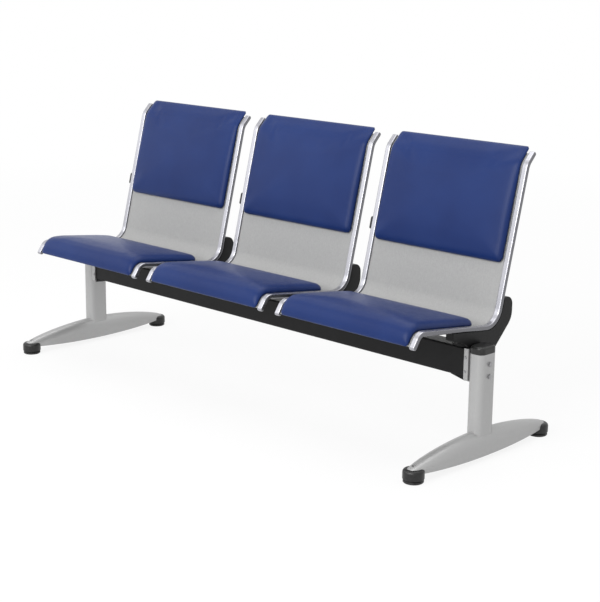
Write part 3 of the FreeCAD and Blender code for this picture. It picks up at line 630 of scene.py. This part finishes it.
def black_finish(colours):
    """Black powder coat with a fine texture."""
    finish = Finish("black_coat")
    wear = finish.noise(25.0, 4.0)
    finish.colour_from(finish.colours(finish.spread(wear, 0.35, 0.7, 0, 1), colours.black,
                                      scaled(colours.black, 1.5)))
    finish.roughness_from(finish.spread(finish.noise(140.0), 0.3, 0.7, 0.34, 0.46))
    finish.normal_from(finish.bump(finish.noise(1100.0, 2.0), 0.0003, 0.16))
    finish.set(Specular_IOR_Level=0.2)
    return finish.material


def plastic_finish(colours):
    """Moulded black plastic with scuffs."""
    finish = Finish("black_plastic")
    scuffs = finish.noise(120.0, 5.0, 0.7)
    finish.colour_from(finish.colours(finish.spread(scuffs, 0.45, 0.75, 0, 1), colours.plastic,
                                      scaled(colours.plastic, 2.2)))
    finish.roughness_from(finish.spread(scuffs, 0.3, 0.7, 0.30, 0.48))
    finish.normal_from(finish.bump(finish.noise(1500.0, 2.0), 0.0002, 0.12))
    finish.set(Specular_IOR_Level=0.4)
    return finish.material


def zinc_finish(colours):
    """Zinc plate with a dull spangle."""
    finish = Finish("zinc_plate")
    spangle = finish.noise(500.0, 2.0)
    finish.colour_from(finish.colours(finish.spread(spangle, 0.35, 0.65, 0, 1),
                                      scaled(colours.zinc, 0.8), scaled(colours.zinc, 1.1)))
    finish.roughness_from(finish.spread(spangle, 0.3, 0.7, 0.28, 0.42))
    finish.set(Metallic=0.9)
    return finish.material


def wood_finish(_):
    """Bare plywood, for the boards inside the pads, with colours of its own."""
    finish = Finish("plywood")
    rings = finish.noise(1.0, 4.0, 0.6, finish.stretched((15.0, 120.0, 120.0)))
    finish.colour_from(finish.colours(rings, (0.35, 0.22, 0.12), (0.55, 0.38, 0.22)))
    finish.set(Roughness=0.7)
    return finish.material


FINISHES = {
    "sheet": sheet_finish,
    "bright_rail": bright_finish,
    "silver_paint": silver_finish,
    "black_paint": black_finish,
    "black_plastic": plastic_finish,
    "glide": plastic_finish,
    "zinc": zinc_finish,
    "board": wood_finish,
}


def dress_nodes(slot_names, colours):
    """Give every carried-over node of these slots its finish."""
    made = {}
    for row in frame["record"]["subparts"]:
        slot = row["material_slot"]
        if slot not in slot_names:
            continue
        if slot not in made:
            made[slot] = FINISHES[slot](colours)
        node = frame["nodes"][row["node"]]
        for holder in node.material_slots:
            holder.material = made[slot]


# Operators

class BENCH_OT_seat_pads(bpy.types.Operator):
    """Make the padded seats: crowned, rolled over the front edge, thin at the sides"""
    bl_idname = "bench.seat_pads"
    bl_label = "Seat pads"

    def execute(self, context):
        sizes = context.scene.bench_sizes
        profile = pad_profile(sizes.seat_pad_depth, SEAT_CROWN, SEAT_ROLL)
        points, faces = pad_surface(half_width("seat_pad_1", sizes), SEAT_PAD_START,
                                    SEAT_PAD_START + SEAT_PAD_LENGTH, profile, SEAT_PAD_CORNERS,
                                    seat_fullness)
        pad = mesh_object("seat_pad_source", points, faces)
        stuff(pad, sizes.swell, sizes.pressure)
        copies_for_seats(pad, "padded_seat", "seat_pad",
                         cover_finish(context.scene.bench_colours))
        return {"FINISHED"}


class BENCH_OT_back_pads(bpy.types.Operator):
    """Make the padded backs: crowned, and rolled over the top of the sheet"""
    bl_idname = "bench.back_pads"
    bl_label = "Back pads"

    def execute(self, context):
        sizes = context.scene.bench_sizes
        run_start_z = SIDE.starts[BACK_RUN][1]
        slope = math.sin(SIDE.headings[BACK_RUN])
        start = SIDE.ends[BACK_RUN - 1] + (BACK_PAD_START_Z - run_start_z) / slope
        profile = pad_profile(sizes.back_pad_depth, BACK_CROWN, BACK_ROLL)
        points, faces = pad_surface(half_width("back_pad_1", sizes), start,
                                    SIDE.ends[-1] + BACK_PAD_OVERHANG, profile, BACK_PAD_CORNERS,
                                    back_fullness, BACK_PAD_TOP_ROLL)
        pad = mesh_object("back_pad_source", points, faces)
        stuff(pad, sizes.swell, sizes.pressure)
        copies_for_seats(pad, "padded_back", "back_pad",
                         bpy.data.materials["blue_cover"])
        return {"FINISHED"}


class BENCH_OT_sheets(bpy.types.Operator):
    """Finish the bent sheets and their bright rails"""
    bl_idname = "bench.sheets"
    bl_label = "Sheets and rails"

    def execute(self, context):
        dress_nodes(("sheet", "bright_rail", "board"), context.scene.bench_colours)
        return {"FINISHED"}


class BENCH_OT_carriers(bpy.types.Operator):
    """Finish the beam, the brackets and the legs"""
    bl_idname = "bench.carriers"
    bl_label = "Beam, brackets and legs"

    def execute(self, context):
        dress_nodes(("black_paint", "silver_paint"), context.scene.bench_colours)
        return {"FINISHED"}


class BENCH_OT_fittings(bpy.types.Operator):
    """Finish the caps, glides, lugs, bolts and screws"""
    bl_idname = "bench.fittings"
    bl_label = "Caps, glides and bolts"

    def execute(self, context):
        dress_nodes(("black_plastic", "glide", "zinc"), context.scene.bench_colours)
        return {"FINISHED"}


def area_light(name, place, size, power):
    """A square soft light that faces the middle of the bench."""
    lamp = bpy.data.lights.new(name, "AREA")
    lamp.shape = "SQUARE"
    lamp.size = size
    lamp.energy = power
    holder = bpy.data.objects.new(name, lamp)
    bpy.context.scene.collection.objects.link(holder)
    holder.location = place
    holder.rotation_mode = "QUATERNION"
    aim = Vector(LIGHT_TARGET) - Vector(place)
    holder.rotation_quaternion = aim.to_track_quat("-Z", "Y")


def seen_directly(tree):
    """One for rays from the camera or by way of gloss or clear material, else nothing."""
    path = tree.nodes.new("ShaderNodeLightPath")
    first = tree.nodes.new("ShaderNodeMath")
    first.operation = "MAXIMUM"
    second = tree.nodes.new("ShaderNodeMath")
    second.operation = "MAXIMUM"
    tree.links.new(path.outputs["Is Camera Ray"], first.inputs[0])
    tree.links.new(path.outputs["Is Glossy Ray"], first.inputs[1])
    tree.links.new(first.outputs[0], second.inputs[0])
    tree.links.new(path.outputs["Is Transmission Ray"], second.inputs[1])
    return second.outputs[0]


def studio_floor():
    """A wide pale floor that looks white to the camera and keeps soft shadows."""
    points = [(-FLOOR_HALF, -FLOOR_HALF, 0), (FLOOR_HALF, -FLOOR_HALF, 0),
              (FLOOR_HALF, FLOOR_HALF, 0), (-FLOOR_HALF, FLOOR_HALF, 0)]
    floor = mesh_object("studio_floor", points, [(0, 1, 2, 3)], smooth=False)
    material = bpy.data.materials.new("studio_floor")
    material.use_nodes = True
    tree = material.node_tree
    tree.nodes.clear()
    matte = tree.nodes.new("ShaderNodeBsdfDiffuse")
    matte.inputs["Color"].default_value = (FLOOR_GREY, FLOOR_GREY, FLOOR_GREY, 1)
    white = tree.nodes.new("ShaderNodeEmission")
    white.inputs["Strength"].default_value = 1.0
    place = tree.nodes.new("ShaderNodeNewGeometry")
    distance = tree.nodes.new("ShaderNodeVectorMath")
    distance.operation = "LENGTH"
    tree.links.new(place.outputs["Position"], distance.inputs[0])
    fade = tree.nodes.new("ShaderNodeMapRange")
    fade.inputs["From Min"].default_value = FLOOR_NEAR
    fade.inputs["From Max"].default_value = FLOOR_FAR
    fade.inputs["To Min"].default_value = FLOOR_WHITE_SHARE
    fade.inputs["To Max"].default_value = 1.0
    tree.links.new(distance.outputs["Value"], fade.inputs["Value"])
    share = tree.nodes.new("ShaderNodeMath")
    share.operation = "MULTIPLY"
    tree.links.new(fade.outputs["Result"], share.inputs[1])
    mix = tree.nodes.new("ShaderNodeMixShader")
    result = tree.nodes.new("ShaderNodeOutputMaterial")
    tree.links.new(seen_directly(tree), share.inputs[0])
    tree.links.new(share.outputs[0], mix.inputs[0])
    tree.links.new(matte.outputs[0], mix.inputs[1])
    tree.links.new(white.outputs[0], mix.inputs[2])
    tree.links.new(mix.outputs[0], result.inputs["Surface"])
    floor.data.materials.append(material)


def studio_world():
    """White behind everything, and an even light from all sides."""
    world = bpy.data.worlds.new("studio_world")
    bpy.context.scene.world = world
    world.use_nodes = True
    tree = world.node_tree
    light = tree.nodes["Background"]
    light.inputs["Color"].default_value = (1, 1, 1, 1)
    strength = tree.nodes.new("ShaderNodeMapRange")
    strength.inputs["To Min"].default_value = WORLD_LIGHT
    strength.inputs["To Max"].default_value = 1.0
    tree.links.new(seen_directly(tree), strength.inputs["Value"])
    tree.links.new(strength.outputs["Result"], light.inputs["Strength"])


def photo_camera():
    """The camera at the photograph's place, heading, roll and focal length."""
    azimuth = math.radians(CAMERA_AZIMUTH)
    elevation = math.radians(CAMERA_ELEVATION)
    roll = math.radians(CAMERA_ROLL)
    back = Vector((math.sin(azimuth) * math.cos(elevation),
                   -math.cos(azimuth) * math.cos(elevation), math.sin(elevation)))
    level = Vector((math.cos(azimuth), math.sin(azimuth), 0))
    upright = back.cross(level)
    right = level * math.cos(roll) + upright * math.sin(roll)
    up = upright * math.cos(roll) - level * math.sin(roll)
    lens = bpy.data.cameras.new("photo_camera")
    lens.sensor_fit = "HORIZONTAL"
    lens.sensor_width = SENSOR_WIDTH_MM
    lens.lens = CAMERA_FOCAL_PIXELS / PHOTO_WIDTH * SENSOR_WIDTH_MM
    lens.shift_x = (PHOTO_WIDTH / 2 - CAMERA_CENTRE_PIXELS[0]) / PHOTO_WIDTH
    lens.shift_y = (CAMERA_CENTRE_PIXELS[1] - PHOTO_HEIGHT / 2) / PHOTO_WIDTH
    lens.clip_end = VIEW_END
    camera = bpy.data.objects.new("photo_camera", lens)
    bpy.context.scene.collection.objects.link(camera)
    rotation = Matrix((right, up, back)).transposed()
    camera.matrix_world = Matrix.Translation(CAMERA_PLACE) @ rotation.to_4x4()
    bpy.context.scene.camera = camera


class BENCH_OT_stage(bpy.types.Operator):
    """Set up the floor, the lights and the camera"""
    bl_idname = "bench.stage"
    bl_label = "Studio"

    def execute(self, context):
        studio_floor()
        studio_world()
        area_light("key_light", KEY_PLACE, KEY_SIZE, KEY_WATTS)
        area_light("fill_light", FILL_PLACE, FILL_SIZE, FILL_WATTS)
        area_light("top_light", TOP_PLACE, TOP_SIZE, TOP_WATTS)
        photo_camera()
        context.scene.view_settings.view_transform = "Standard"
        return {"FINISHED"}


class BENCH_PT_sidebar(bpy.types.Panel):
    """The steps of the bench and the values that drive them"""
    bl_label = "Beam bench"
    bl_idname = "BENCH_PT_sidebar"
    bl_space_type = "VIEW_3D"
    bl_region_type = "UI"
    bl_category = "Bench"

    def draw(self, context):
        layout = self.layout
        for operator in STEPS:
            layout.operator(operator.bl_idname)
        for group in (context.scene.bench_sizes, context.scene.bench_colours):
            box = layout.box()
            for key in group.__annotations__:
                box.prop(group, key)


STEPS = (
    BENCH_OT_stage,
    BENCH_OT_seat_pads,
    BENCH_OT_back_pads,
    BENCH_OT_sheets,
    BENCH_OT_carriers,
    BENCH_OT_fittings,
)
CLASSES = (BenchSizes, BenchColours) + STEPS + (BENCH_PT_sidebar,)


def register():
    for item in CLASSES:
        bpy.utils.register_class(item)
    bpy.types.Scene.bench_sizes = bpy.props.PointerProperty(type=BenchSizes)
    bpy.types.Scene.bench_colours = bpy.props.PointerProperty(type=BenchColours)


def unregister():
    del bpy.types.Scene.bench_colours
    del bpy.types.Scene.bench_sizes
    for item in reversed(CLASSES):
        bpy.utils.unregister_class(item)


def main():
    register()
    bpy.ops.bench.stage()
    bpy.ops.bench.seat_pads()
    bpy.ops.bench.back_pads()
    bpy.ops.bench.sheets()
    bpy.ops.bench.carriers()
    bpy.ops.bench.fittings()


if __name__ == "__main__":
    main()
